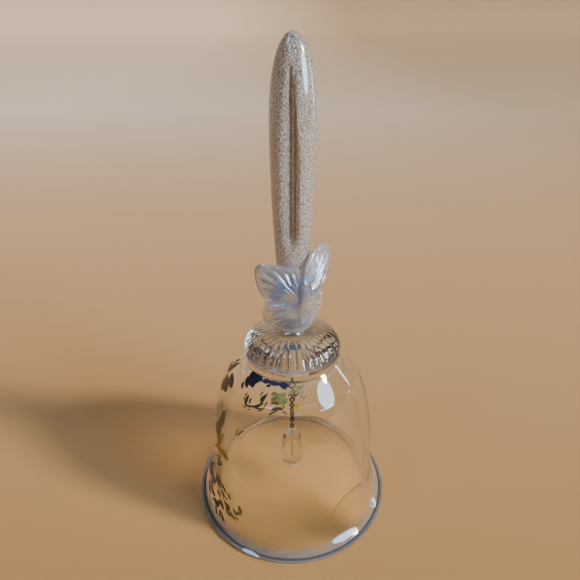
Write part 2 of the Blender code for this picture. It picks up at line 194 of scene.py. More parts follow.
def blown_soda_glass():
    """Blown soda-lime glass: clear, faintly grey, with the slow ripple that a blown wall keeps."""
    material, tree, shader, place = finish("blown_soda_lime_glass", IOR=1.52)
    ripple = add(tree, "ShaderNodeTexNoise", {"Vector": place}, Scale=45.0, Detail=1.0)
    bump = add(tree, "ShaderNodeBump", {"Height": ripple.outputs["Fac"]},
               Strength=0.25, Distance=0.25 * MM)
    wipe = add(tree, "ShaderNodeTexNoise", {"Vector": place}, Scale=160.0, Detail=3.0)
    tree.links.new(levels(tree, wipe.outputs["Fac"], 0.0, 0.015), shader.inputs["Roughness"])
    tree.links.new(bump.outputs["Normal"], shader.inputs["Normal"])
    # painted reflection: the thick rolled rim is drawn less clear and milky blue grey, for the sky light
    # that it gathers
    height = add(tree, "ShaderNodeSeparateXYZ", {"Vector": place}).outputs["Z"]
    clear = add(tree, "ShaderNodeMapRange", {"Value": height}, From_Min=0.6 * MM, From_Max=2.6 * MM,
                To_Min=0.84, To_Max=1.0).outputs["Result"]
    tree.links.new(clear, shader.inputs["Transmission Weight"])
    tint = ramp(tree, levels(tree, clear, 0.0, 1.0), [(0.84, "#c3ced6"), (1.0, "#fbfcfb")])
    tree.links.new(tint, shader.inputs["Base Color"])
    let_sun_through(tree, shader, "#c8c2b8", "#2e2a25")
    return material


def pressed_glass(name, with_painted_shade):
    """Pressed soda-lime glass, fire polished: brighter, with a finer wave from the mould. If asked for,
    painted shade: brown is drawn in the bottoms of its flutes and round its neck, so that they read as deep."""
    material, tree, shader, place = finish(
        name, Base_Color=colour("#f8fafb"), IOR=1.52, Transmission_Weight=1.0)
    if with_painted_shade:
        # painted shade: brown in the flute valleys and round the neck under the handle
        painted_shade = add(tree, "ShaderNodeAttribute", attribute_name="painted_shade").outputs["Fac"]
        tint = ramp(tree, painted_shade, [(0.0, "#f8fafb"), (0.5, "#d6d0c8"), (1.0, "#3c3026")])
        tree.links.new(tint, shader.inputs["Base Color"])
    wave = add(tree, "ShaderNodeTexNoise", {"Vector": place}, Scale=260.0, Detail=2.0)
    bump = add(tree, "ShaderNodeBump", {"Height": wave.outputs["Fac"]}, Strength=0.4, Distance=0.12 * MM)
    tree.links.new(levels(tree, wave.outputs["Fac"], 0.0, 0.03), shader.inputs["Roughness"])
    tree.links.new(bump.outputs["Normal"], shader.inputs["Normal"])
    return material


def satin_glass():
    """Acid-satin pressed glass: half clear, half milky, silvery warm and stippled on the shaft, and
    smoother, colder and clearer on the knop and butterfly."""
    material, tree, shader, place = finish(
        "acid_satin_glass", IOR=1.52, Coat_Weight=0.8, Coat_IOR=1.8, Coat_Roughness=0.12)
    where = add(tree, "ShaderNodeSeparateXYZ", {"Vector": place}).outputs
    height = where["Z"]
    up = add(tree, "ShaderNodeMapRange", {"Value": height}, From_Min=SHAFT_BASE - 3 * MM,
             From_Max=SHAFT_BASE + 7 * MM).outputs["Result"]
    # stipple of the mould, drawn 0.6 mm across so that it shows
    grain = add(tree, "ShaderNodeTexVoronoi", {"Vector": place}, Scale=1700.0, Randomness=1.0)
    pits = add(tree, "ShaderNodeTexNoise", {"Vector": place}, Scale=2300.0, Detail=2.0, Roughness=0.6)
    both = add(tree, "ShaderNodeMath", {0: grain.outputs["Distance"], 1: pits.outputs["Fac"]},
               operation="ADD").outputs["Value"]
    bump = add(tree, "ShaderNodeBump", {"Height": both, "Strength": levels(tree, up, 0.12, 1.0)},
               Distance=0.40 * MM)
    silver = ramp(tree, pits.outputs["Fac"], [(0.38, "#998a75"), (0.50, "#cdc2b0"), (0.62, "#f6f1e5")])
    cold = ramp(tree, pits.outputs["Fac"], [(0.3, "#b2cae8"), (0.7, "#dceafc")])
    mix = add(tree, "ShaderNodeMixRGB", {"Fac": up, "Color1": cold, "Color2": silver})
    # painted shade: dark brown is drawn along the sharp bottom of the grooves, so that they read as deep
    aside = add(tree, "ShaderNodeMath", {0: where["X"]}, operation="ABSOLUTE").outputs["Value"]
    far = add(tree, "ShaderNodeMath", {0: aside}, operation="SUBTRACT")
    far.inputs[1].default_value = GROOVE_ASIDE
    near = add(tree, "ShaderNodeMath", {0: far.outputs["Value"]}, operation="ABSOLUTE").outputs["Value"]
    line = add(tree, "ShaderNodeMapRange", {"Value": near}, From_Min=0.18 * MM, From_Max=0.55 * MM,
               To_Min=0.75, To_Max=0.0).outputs["Result"]
    foot = add(tree, "ShaderNodeMapRange", {"Value": height}, From_Min=SHAFT_BASE + 8 * MM,
               From_Max=SHAFT_BASE + 16 * MM).outputs["Result"]
    head = add(tree, "ShaderNodeMapRange", {"Value": height}, From_Min=HANDLE_HIGH.z - 12 * MM,
               From_Max=HANDLE_HIGH.z - 8 * MM, To_Min=1.0, To_Max=0.0).outputs["Result"]
    span = add(tree, "ShaderNodeMath", {0: foot, 1: head}, operation="MULTIPLY").outputs["Value"]
    share = add(tree, "ShaderNodeMath", {0: line, 1: span}, operation="MULTIPLY").outputs["Value"]
    mix = add(tree, "ShaderNodeMixRGB", {"Fac": share, "Color1": mix.outputs["Color"]},
              Color2=colour("#4a3a2a"))
    tree.links.new(mix.outputs["Color"], shader.inputs["Base Color"])
    tree.links.new(levels(tree, up, 0.07, 0.17), shader.inputs["Roughness"])
    tree.links.new(levels(tree, up, 0.90, 0.58), shader.inputs["Transmission Weight"])
    tree.links.new(bump.outputs["Normal"], shader.inputs["Normal"])
    return material


def old_brass(name, dark, light):
    """Antiqued brass wire: brown oxide with rubbed high spots."""
    material, tree, shader, place = finish(name, Metallic=1.0)
    wear = add(tree, "ShaderNodeTexNoise", {"Vector": place}, Scale=1400.0, Detail=4.0)
    worn = ramp(tree, wear.outputs["Fac"], [(0.35, dark), (0.7, light)])
    tree.links.new(worn, shader.inputs["Base Color"])
    tree.links.new(levels(tree, wear.outputs["Fac"], 0.3, 0.5), shader.inputs["Roughness"])
    return material


def enamel(name, deep, thin):
    """Screen-printed glass enamel, fired on: opaque pigment, thinner and lighter in places."""
    material, tree, shader, place = finish(name, IOR=1.5, Coat_Weight=0.3, Coat_Roughness=0.1)
    body = add(tree, "ShaderNodeTexNoise", {"Vector": place}, Scale=900.0, Detail=5.0)
    pigment = ramp(tree, body.outputs["Fac"], [(0.3, deep), (0.72, thin)])
    tree.links.new(pigment, shader.inputs["Base Color"])
    tree.links.new(levels(tree, body.outputs["Fac"], 0.3, 0.55), shader.inputs["Roughness"])
    return material


def cured_adhesive():
    """UV-cured glass adhesive: clear, faintly warm, with a soft wave."""
    material, tree, shader, place = finish(
        "cured_adhesive", Base_Color=colour("#f3eee2"), IOR=1.48, Transmission_Weight=0.95)
    wave = add(tree, "ShaderNodeTexNoise", {"Vector": place}, Scale=500.0, Detail=2.0)
    tree.links.new(levels(tree, wave.outputs["Fac"], 0.05, 0.25), shader.inputs["Roughness"])
    return material


def clear_film():
    """Clear vinyl label film: thin, slightly hazy."""
    material, tree, shader, place = finish(
        "clear_vinyl_film", Base_Color=colour("#fbfaf6"), IOR=1.34, Transmission_Weight=1.0)
    haze = add(tree, "ShaderNodeTexNoise", {"Vector": place}, Scale=700.0, Detail=4.0)
    tree.links.new(levels(tree, haze.outputs["Fac"], 0.0, 0.02), shader.inputs["Roughness"])
    return material


# Meshes ---------------------------------------------------------------------

def grid_faces(rows, columns, wrap_rows, wrap_columns):
    """Quads of a rows by columns grid, closed on itself in either direction."""
    r = np.arange(rows if wrap_rows else rows - 1)[:, None]
    c = np.arange(columns if wrap_columns else columns - 1)[None, :]
    below, beside = (r + 1) % rows, (c + 1) % columns
    quads = np.stack([r * columns + c, r * columns + beside,
                      below * columns + beside, below * columns + c], -1)
    return quads.reshape(-1, 4)


def mesh_of(name, grids, sharp=40.0):
    """Mesh from (points, wrap_rows, wrap_columns) grids: poles and seams merged, faces outwards."""
    points, faces, start = [], [], 0
    for grid, wrap_rows, wrap_columns in grids:
        rows, columns = grid.shape[:2]
        points.append(grid.reshape(-1, 3))
        faces.append(grid_faces(rows, columns, wrap_rows, wrap_columns) + start)
        start += rows * columns
    mesh = bpy.data.meshes.new(name)
    mesh.from_pydata(np.concatenate(points).tolist(), [], np.concatenate(faces).tolist())
    work = bmesh.new()
    work.from_mesh(mesh)
    bmesh.ops.remove_doubles(work, verts=work.verts, dist=1e-7)
    bmesh.ops.recalc_face_normals(work, faces=work.faces)
    work.to_mesh(mesh)
    work.free()
    mesh.shade_smooth()
    mesh.set_sharp_from_angle(angle=math.radians(sharp))
    return mesh


def piece(name, mesh, material, body, slot, *nodes):
    """Put a mesh in the scene with its material, on its body, in the place of its CAD nodes."""
    thing = bpy.data.objects.new(name, mesh)
    mesh.materials.append(material)
    bpy.context.scene.collection.objects.link(thing)
    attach(thing, body)
    if nodes:
        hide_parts(*nodes)
    return thing


def around(count):
    """Angles spaced evenly round a full turn, the last one short of it."""
    return np.linspace(0.0, 2 * math.pi, count, endpoint=False)


def turned(profile, columns):
    """Profile of (radius, height) rows carried round Z."""
    angle = around(columns)
    radius, height = profile[:, :1], profile[:, 1:]
    grid = np.stack([radius * np.cos(angle), radius * np.sin(angle), height + 0 * angle], -1)
    return grid, False, True


def arc(centre, radius, start, end, count):
    """Points on an arc in the profile plane, angles in degrees from straight out."""
    angle = np.radians(np.linspace(start, end, count))
    return np.column_stack([centre[0] + radius * np.cos(angle), centre[1] + radius * np.sin(angle)])


def tube(path, radius, sides, closed):
    """Round wire: a circle of the radius carried square to the path, which lies in a plane, with rounded
    ends if it isn't closed."""
    size = np.full(len(path), radius)
    if closed:
        ahead = np.roll(path, -1, 0) - np.roll(path, 1, 0)
    else:
        ahead = np.gradient(path, axis=0)
        tangent = ahead / np.linalg.norm(ahead, axis=1, keepdims=True)
        cap = np.array([0.0, 0.6, 0.9])
        reach = radius * (1 - np.sqrt(1 - cap ** 2))
        head = path[0] + tangent[0] * (reach[:, None] - radius * 0.6)
        tail = path[-1] - tangent[-1] * (reach[::-1, None] - radius * 0.6)
        path = np.concatenate([head, path[1:-1], tail])
        size = np.concatenate([radius * cap, size[1:-1], radius * cap[::-1]])
        ahead = np.concatenate([np.repeat(tangent[:1], len(cap), 0), tangent[1:-1],
                                np.repeat(tangent[-1:], len(cap), 0)])
    tangent = ahead / np.linalg.norm(ahead, axis=1, keepdims=True)
    flat = np.eye(3)[np.argmin(np.ptp(path, axis=0))]
    side = np.cross(tangent, flat)
    side /= np.linalg.norm(side, axis=1, keepdims=True)
    angle = around(sides)[None, :, None]
    ring = np.cos(angle) * side[:, None, :] + np.sin(angle) * flat[None, None, :]
    return path[:, None, :] + size[:, None, None] * ring, closed, True


def ease(value, low, high):
    """0 below low, 1 above high, smooth between."""
    share = np.clip((value - low) / (high - low), 0.0, 1.0)
    return share * share * (3 - 2 * share)


def smooth(values, width):
    """Running mean under a raised cosine of the width, with the ends held."""
    window = np.hanning(width)
    return np.convolve(np.pad(values, width // 2, mode="edge"), window / window.sum(), "valid")


# Bell body ------------------------------------------------------------------

def wall_radius(height):
    """Straight taper, less a power of the height that rounds the shoulder in."""
    shoulder = WAIST_RADIUS - WALL_TAPER * BODY_TOP - TOP_RADIUS
    rounded = shoulder * (np.maximum(height, 0.0) / BODY_TOP) ** SHOULDER_POWER
    return WAIST_RADIUS - WALL_TAPER * height - rounded


def outer_radius(height):
    """Wall radius plus a flare that dies away exponentially above the lip."""
    flare = RIM_RADIUS - wall_radius(LIP_ROUND)
    return wall_radius(height) + flare * np.exp(-(height - LIP_ROUND) / FLARE_DROP)


def outer_normal(height):
    """Unit (out, up) square to the outer wall, from the slope of its radius."""
    step = 0.02 * MM
    slope = (outer_radius(height + step) - outer_radius(height - step)) / (2 * step)
    size = np.hypot(1.0, slope)
    return 1.0 / size, -slope / size


def body_profile():
    """Flat top, outer wall, round lip, then the outer wall again set in by its thickness, and a curve
    to the axis that leaves along the wall and arrives level."""
    share = np.linspace(0.0, 1.0, 110)
    heights = LIP_ROUND + (BODY_TOP - LIP_ROUND) * (0.35 * share + 0.65 * share ** 2)
    out, up = outer_normal(heights)
    outside = np.column_stack([outer_radius(heights), heights])[::-1]
    lip = arc((RIM_RADIUS - LIP_ROUND, LIP_ROUND), LIP_ROUND, 0, -90, 14)[1:]
    inside = np.column_stack([outer_radius(heights) - WALL * out, heights - WALL * up])
    inside = inside[(inside[:, 1] > 0.9 * MM) & (inside[:, 1] < CEILING - CEILING_DROP)]
    edge = RIM_RADIUS - WALL
    ground = np.array([(edge, 0.0), (edge - 0.35 * MM, 0.25 * MM)])
    begin = inside[-1]
    slope = (inside[-1][0] - inside[-2][0]) / (inside[-1][1] - inside[-2][1])
    corner = np.array([begin[0] + slope * (CEILING - begin[1]), CEILING])
    t = np.linspace(0.0, 1.0, 40)[1:, None]
    dome = (1 - t) ** 2 * begin + 2 * t * (1 - t) * corner + t * t * np.array([0.0, CEILING])
    top = np.column_stack([np.linspace(0.0, TOP_RADIUS, 14)[:-1], np.full(13, BODY_TOP)])
    return np.concatenate([top, outside, lip, ground, inside, dome])


def on_wall(angle, height, lift):
    """Points on the outer wall at an angle and height, lifted square to it."""
    out, up = outer_normal(height)
    radius = outer_radius(height) + lift * out
    return np.stack([radius * np.cos(angle), radius * np.sin(angle), height + lift * up], -1)


def make_body():
    """The bell and its wall in one skin, open at the mouth."""
    mesh = mesh_of("bell", [turned(body_profile(), 256)], 30.0)
    piece("bell", mesh, blown_soda_glass(), "bell", "bell_glass", "bell_body")


# Crown ----------------------------------------------------------------------

def crown_profile():
    """Socket, neck, dome on a superellipse, a cove under it, rounded ring and flat foot."""
    socket = SPIGOT_RADIUS + SOCKET_GAP
    floor = KNOP_FOOT - SPIGOT_LENGTH - SOCKET_GAP
    top = CROWN_HIGH.z
    dome_base = CROWN_LOW.z + RING_HEIGHT
    dome_top = top - NECK_HEIGHT
    angle = np.linspace(math.pi / 2, 0.0, 48)
    radius = DOME_SHOULDER + (DOME_RADIUS - DOME_SHOULDER) * np.abs(np.cos(angle)) ** DOME_POWER
    height = dome_base + (dome_top - dome_base) * np.abs(np.sin(angle)) ** DOME_POWER
    roll = RING_HEIGHT / 3
    start = [(0.0, floor), (socket, floor), (socket, top - 0.3 * MM), (socket + 0.3 * MM, top)]
    neck = [(NECK_RADIUS - 0.2 * MM, top), (NECK_RADIUS, top - 0.2 * MM),
            (NECK_RADIUS + 0.15 * MM, top - 0.7 * MM)]
    cove = [(DOME_RADIUS + 0.1 * MM, dome_base - 0.40 * MM), (DOME_RADIUS + 0.5 * MM, dome_base - 0.35 * MM)]
    upper = arc((RING_RADIUS - roll, dome_base - roll), roll, 70, 0, 9)
    lower = arc((RING_RADIUS - roll, CROWN_LOW.z + roll), roll, 0, -90, 9)
    foot = np.column_stack([np.linspace(RING_RADIUS - roll, 0.0, 12)[1:], np.full(11, CROWN_LOW.z)])
    return np.concatenate([start, neck, np.column_stack([radius, height]), cove, upper, lower, foot])


def dome_share(height):
    """0 where the dome leaves the ring, 1 where it meets the neck."""
    return (height - CROWN_LOW.z - RING_HEIGHT) / (CROWN_HIGH.z - NECK_HEIGHT - CROWN_LOW.z - RING_HEIGHT)


def flute_valley(x, y):
    """0 on the back of a rib, rising to 1 in the sharp valley beside it."""
    return 1 - np.abs(np.cos(0.5 * FLUTES * np.arctan2(y, x)))


def paint_crown_shade(mesh):
    """Painted shade: dark where a flute is deepest, less so towards its ends, and round the neck under the
    handle.
    """
    place = np.empty(len(mesh.vertices) * 3)
    mesh.vertices.foreach_get("co", place)
    x, y, z = place.reshape(-1, 3).T
    share = dome_share(z)
    along = ease(share, 0.0, 0.2) * (1 - 0.5 * ease(share, 0.5, 1.0)) * (share < 1.1)
    neck = ease(share, 1.0, 1.12) * (np.hypot(x, y) > SPIGOT_RADIUS + 1.0 * MM)
    painted_shade = np.clip(flute_valley(x, y) ** 1.5 * along + 0.8 * neck, 0.0, 1.0)
    mesh.attributes.new("painted_shade", "FLOAT", "POINT").data.foreach_set("value", painted_shade)


def make_crown():
    """Round ribs with sharp valleys: each point moves in by the depth times one less the size of the
    cosine of half the flute angle, most of the way down the dome and fading at its ends."""
    grid, wrap_rows, wrap_columns = turned(crown_profile(), FLUTES * 14)
    radius = np.hypot(grid[..., 0], grid[..., 1])
    share = dome_share(grid[..., 2])
    fade = ease(share, -0.02, 0.12) * (1 - ease(share, 1.02, 1.15)) * (radius > NECK_RADIUS - 0.1 * MM)
    valley = flute_valley(grid[..., 0], grid[..., 1])
    shrink = 1 - FLUTE_DEPTH * fade * valley / np.maximum(radius, 1 * MM)
    grid[..., 0] *= shrink
    grid[..., 1] *= shrink
    mesh = mesh_of("crown_dome", [(grid, wrap_rows, wrap_columns)], 50.0)
    paint_crown_shade(mesh)
    piece("crown_dome", mesh, pressed_glass("pressed_fluted_glass", True),
          "bell", "crown_glass", "crown")


# Handle ---------------------------------------------------------------------

def shaft_half_width(height):
    """Quarter sine swell up to the shaft's widest place, then a round point; the knop below it."""
    share = np.clip((height - SHAFT_BASE) / SHAFT_LENGTH, 0.0, 1.0)
    rising = np.sin(0.5 * math.pi * np.minimum(share / SHAFT_SWELL, 1.0))
    swell = SHAFT_FOOT + (SHAFT_RADIUS - SHAFT_FOOT) * rising
    over = np.clip((share - SHAFT_SWELL) / (1 - SHAFT_SWELL), 0.0, 1.0)
    shaft = swell * np.sqrt(1 - over ** SHAFT_POINT_POWER)
    low = (height - KNOP_FOOT) / KNOP_HEIGHT
    widen = smooth(np.interp(low, KNOP_SHARES, KNOP_FULLNESS), 15)
    knop = SHAFT_FOOT + (KNOP_RADIUS - SHAFT_FOOT) * widen
    return np.where(height < SHAFT_BASE, knop, shaft)


def groove_depth(across, height):
    """Lancet valley: a soft shoulder on its left and a flat facet with a sharp edge on its right. It
    widens from a point near the tip, and fades at its foot."""
    top = HANDLE_HIGH.z - 8.0 * MM
    open_up = 1 - np.clip((height - (top - 26 * MM)) / (26 * MM), 0.0, 1.0)
    fade = ease(height, SHAFT_BASE + 5 * MM, SHAFT_BASE + 15 * MM)
    envelope = open_up ** 0.45 * fade
    left = 4.3 * MM * (0.22 + 0.78 * open_up ** 0.8)
    right = 2.9 * MM * (0.10 + 0.90 * open_up ** 0.8)
    u = np.where(across < 0, across / left, across / right)
    soft = np.clip(1 + u, 0.0, 1.0) ** 1.5
    flat = np.clip(1 - u, 0.0, 1.0)
    inside = np.where(across < 0, soft, flat) * (np.abs(u) < 1)
    return GROOVE_DEPTH * envelope * inside


def ripple(across, height):
    """Beads about 1.6 mm apart down the left shoulder of the groove."""
    window = np.exp(-((across + 2.6 * MM) / (1.1 * MM)) ** 2)
    fade_in = ease(height, SHAFT_BASE + 14 * MM, SHAFT_BASE + 26 * MM)
    fade_out = ease(height, SHAFT_BASE + 40 * MM, SHAFT_BASE + 52 * MM)
    along = fade_in * (1 - fade_out)
    return 0.12 * MM * window * along * np.cos(2 * math.pi * height / (1.6 * MM))


def shaft_grid():
    """Spigot, knop and shaft in rows up the axis; columns crowd together where the grooves are."""
    tip = 1 - np.linspace(1.0, 0.0, 34) ** 2.2
    rows = np.concatenate([
        np.linspace(KNOP_FOOT, SHAFT_BASE + 0.8 * SHAFT_LENGTH, 250),
        SHAFT_BASE + SHAFT_LENGTH * (0.8 + 0.2 * tip[1:])])
    turn = around(176)
    angle = turn + 0.33 * np.sin(2 * turn)
    width = shaft_half_width(rows)[:, None]
    height = rows[:, None] + 0 * angle
    above_knop = np.clip((height - SHAFT_BASE + 0.5 * KNOP_HEIGHT) / KNOP_HEIGHT, 0.0, 1.0)
    flatten = 1 - (1 - SHAFT_FLATNESS) * above_knop
    x = width * np.cos(angle)
    y = width * np.sin(angle)
    centre = -GROOVE_ASIDE
    front = groove_depth(x - centre, height) + ripple(x - centre, height)
    back = groove_depth(-x - centre, height)
    y = np.where(y < 0, np.minimum(y + front, 0.2 * y), np.maximum(y - back, 0.2 * y)) * flatten
    grid = np.stack([x, y, height], -1)
    foot = HANDLE_LOW.z
    spigot = np.array([(0.0, foot), (SPIGOT_RADIUS - 0.3 * MM, foot),
                       (SPIGOT_RADIUS, foot + 0.3 * MM), (SPIGOT_RADIUS, KNOP_FOOT)])
    radius, level = spigot[:, :1], spigot[:, 1:]
    ring = np.stack([radius * np.cos(angle), radius * np.sin(angle), level + 0 * angle], -1)
    return np.concatenate([ring, grid]), False, True


def wing_axes(side):
    """Out along a wing, square to it, and the point on the butterfly's body where it starts."""
    facing = np.array([math.sin(BUTTERFLY_TURN), -math.cos(BUTTERFLY_TURN), 0.0])
    across = np.array([math.cos(BUTTERFLY_TURN), math.sin(BUTTERFLY_TURN), 0.0])
    out = side * across * math.cos(WING_SWEEP) - facing * math.sin(WING_SWEEP)
    square = np.cross(out, [0.0, 0.0, 1.0]) * side
    return out, square, facing


def wing_grid(side, start, reach, ribs, bow, thick):
    """Ribbed plate: points spread from its root over an angle and a share of the reach in that direction.
    Its half thickness is rounded off at every edge, with a raised rim and ribs along the rays, and its
    middle bows back."""
    out, square, facing = wing_axes(side)
    turn = np.linspace(reach[0][0], reach[-1][0], 84)
    length = smooth(np.interp(turn, *zip(*reach)) * MM, 11)
    share = 1 - (1 - np.linspace(0.0, 1.0, 40)) ** 1.5
    c = np.linspace(-1.0, 1.0, 84)
    s = share[:, None]
    along = s * length * np.cos(np.radians(turn))
    rise = s * length * np.sin(np.radians(turn))
    edge = np.sqrt(np.clip(1 - s ** 7, 0, 1)) * np.sqrt(np.clip(1 - c ** 8, 0, 1))
    rim = 0.40 * np.exp(-((s - 0.93) / 0.05) ** 2)
    rib = 0.48 * np.cos(ribs * math.pi * (c + 1)) * ease(s, 0.15, 0.4) * (1 - ease(s, 0.78, 0.92))
    half = thick * MM * edge * (1 + rim + rib)
    bowed = -bow * MM * np.sin(math.pi * np.clip(s, 0, 1) * 0.8) * (1 - c ** 2 * 0.6)
    root = facing * (BUTTERFLY_REACH - 1.0 * MM) + np.array([0.0, 0.0, KNOP_FOOT + start * MM])
    level = along[..., None] * out
    upward = rise[..., None] * np.array([0.0, 0.0, 1.0])
    middle = root + level + upward + bowed[..., None] * square * -1
    front = middle + half[..., None] * square
    back = middle - half[..., None] * square
    return np.concatenate([front, back[::-1]]), False, False


# (direction in degrees above level, reach in millimetres)
FOREWING = {
    -1: ((-4, 13.5), (6, 14.8), (18, 16.8), (30, 19.0), (38, 19.4), (46, 17.4), (56, 14.6),
         (70, 12.6), (84, 11.4)),
    1: ((-4, 13.5), (8, 16.5), (20, 19.5), (30, 21.5), (40, 22.0), (50, 21.3), (58, 20.0),
        (66, 18.0), (74, 15.5), (84, 11.5)),
}
HINDWING = {
    -1: ((-84, 10.0), (-70, 12.4), (-52, 14.4), (-36, 15.8), (-24, 15.6), (-12, 13.8), (0, 12.6)),
    1: ((-84, 8.5), (-70, 10.2), (-52, 12.2), (-36, 14.2), (-24, 14.6), (-12, 13.4), (0, 12.6)),
}


def butterfly_body():
    """Tapered abdomen with soft rings, in front of the wings' roots."""
    _, _, facing = wing_axes(1)
    share = np.linspace(0.0, 1.0, 60)
    rings = 1 + 0.05 * np.cos(2 * math.pi * share * 9) * ease(share, 0.1, 0.25)
    ends = np.sqrt(np.clip(1 - np.abs(2 * share - 1) ** 2.6, 0, 1))
    radius = 2.0 * MM * ends * (0.75 + 0.35 * share) * rings
    height = KNOP_FOOT + (4.6 + 18.0 * share) * MM
    angle = around(36)
    reach = BUTTERFLY_REACH - 0.2 * MM
    x = facing[0] * reach + radius[:, None] * np.cos(angle)
    y = facing[1] * reach + radius[:, None] * np.sin(angle)
    return np.stack([x, y, height[:, None] + 0 * angle], -1), False, True


def make_handle():
    """The shaft with the butterfly joined on by union, so that the glass has one skin."""
    material = satin_glass()
    mesh = mesh_of("satin_handle", [shaft_grid()], 28.0)
    thing = piece("satin_handle", mesh, material, "bell", "satin_glass", "handle")
    parts = [wing_grid(side, *spec) for side in (-1, 1) for spec in (
        (14.0, FOREWING[side], 7, 1.0, 0.9), (13.0, HINDWING[side], 6, 1.2, 0.95))]
    parts.append(butterfly_body())
    tools = []
    for number, part in enumerate(parts):
        tool = bpy.data.objects.new(f"join_{number}", mesh_of(f"join_{number}", [part]))
        bpy.context.scene.collection.objects.link(tool)
        step = thing.modifiers.new(tool.name, "BOOLEAN")
        step.operation = "UNION"
        step.solver = "MANIFOLD"
        step.object = tool
        tools.append(tool)
    bpy.context.view_layer.update()
    evaluated = thing.evaluated_get(bpy.context.evaluated_depsgraph_get())
    joined = bpy.data.meshes.new_from_object(evaluated)
    thing.modifiers.clear()
    joined.name = "satin_handle"
    thing.data = joined
    joined.shade_smooth()
    joined.set_sharp_from_angle(angle=math.radians(28.0))
    for tool in tools:
        bpy.data.objects.remove(tool, do_unlink=True)


# Chain, hanger and clapper --------------------------------------------------

def make_hanger():
    """Cap with rolled edges, a U of wire under it, and the bead of adhesive round it."""
    brass = old_brass("antique_brass", "#3a2a16", "#8a6a3c")
    height = (DISC_LOW.z, DISC_HIGH.z)
    radius = DISC_HIGH.x
    roll = 0.25 * MM
    profile = np.concatenate([
        [(0.0, height[1])], arc((radius - roll, height[1] - roll), roll, 90, 0, 6),
        arc((radius - roll, height[0] + roll), roll, 0, -90, 6), [(0.0, height[0])]])
    piece("hanger_cap", mesh_of("hanger_cap", [turned(profile, 48)]), brass, "bell", "brass", "hanger_disc")
    half = LOOP_HIGH.x - WIRE / 2
    bend = LOOP_LOW.z + WIRE / 2 + half
    angle = np.linspace(0.0, -math.pi, 25)
    curve = np.column_stack([half * np.cos(angle), 0 * angle, bend + half * np.sin(angle)])
    path = np.concatenate([[(half, 0.0, LOOP_HIGH.z)], curve, [(-half, 0.0, LOOP_HIGH.z)]])
    hook = mesh_of("hanger_hook", [tube(path, WIRE / 2, 14, False)])
    piece("hanger_hook", hook, brass, "bell", "brass", "hanger_loop")
    low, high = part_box("hanger_cement")
    inner = radius + 0.3 * MM
    t = np.linspace(0.0, 1.0, 14)
    bead = np.column_stack([high.x - (high.x - inner) * t ** 2.2, high.z - (high.z - low.z) * t])
    ring = np.concatenate([[(inner, high.z)], bead, [(inner, low.z)]])
    grid, _, wrap = turned(ring, 64)
    piece("hanger_cement_bead", mesh_of("hanger_cement_bead", [(grid, True, wrap)]), cured_adhesive(),
          "bell", "adhesive", "hanger_cement")


def make_chain():
    """Oval links: half circles joined by straights, in the plane that the model's link lies in."""
    brass = old_brass("dark_antique_brass", "#120c06", "#3a2c18")
    for number in range(1, LINK_COUNT + 1):
        node = f"chain_link_{number:02d}"
        low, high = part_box(node)
        flat = (high.x - low.x) > (high.y - low.y)
        wide = (high.x - low.x if flat else high.y - low.y) - WIRE
        half = wide / 2
        top, foot = high.z - WIRE / 2 - half, low.z + WIRE / 2 + half
        angle = (np.arange(40) + 0.5) / 40 * 2 * math.pi
        side = half * np.cos(angle)
        height = np.where(np.sin(angle) > 0, top, foot) + half * np.sin(angle)
        zero = 0 * angle
        path = np.column_stack([side, zero, height] if flat else [zero, side, height])
        piece(f"link_{number:02d}", mesh_of(node, [tube(path, LINK_WIRE / 2, 14, True)]), brass,
              f"link_{number:02d}", "chain", node)


def make_clapper():
    """Glass drop: from the neck to a half ball by a raised cosine of the share to a power, which fills it
    out near its top, with a bore for the pin."""
    top, foot = DROP_HIGH.z, DROP_LOW.z
    wide = DROP_HIGH.x
    neck = CLAPPER_NECK
    widest = foot + wide
    share = np.linspace(0.0, 1.0, 50)[1:]
    swell = neck + (wide - neck) * 0.5 * (1 - np.cos(math.pi * share ** CLAPPER_FULLNESS))
    side = np.column_stack([swell, top + (widest - top) * share])
    ball = arc((0.0, widest), wide, -4, -90, 30)
    bore = WIRE / 2 + PIN_GAP
    bore_floor = PIN_LOW.z - 0.05 * MM
    head = [(0.0, bore_floor), (bore, bore_floor), (bore, top - 0.15 * MM),
            (bore + 0.2 * MM, top), (neck * 0.8, top)]
    mesh = mesh_of("glass_drop", [turned(np.concatenate([head, side, ball]), 96)], 45.0)
    piece("glass_drop", mesh, pressed_glass("pressed_clear_glass", False),
          "clapper", "clapper_glass", "clapper_glass")
    centre = PIN_HIGH.z - WIRE / 2 - EYE_RADIUS
    angle = np.radians(np.linspace(-62.0, 215.0, 44))
    ring = np.column_stack([EYE_RADIUS * np.cos(angle), centre + EYE_RADIUS * np.sin(angle)])
    stem = np.column_stack([np.zeros(8), np.linspace(PIN_LOW.z, centre - EYE_RADIUS - WIRE, 8)])
    flat = np.concatenate([stem, ring])
    path = np.column_stack([np.zeros(len(flat)), flat[:, 0], flat[:, 1]])
    pin = mesh_of("eye_pin", [tube(path, WIRE / 2, 16, False)])
    piece("eye_pin", pin, old_brass("pin_brass", "#2e2112", "#7d6036"), "clapper", "brass", "clapper_pin")


# Enamel and label -----------------------------------------------------------

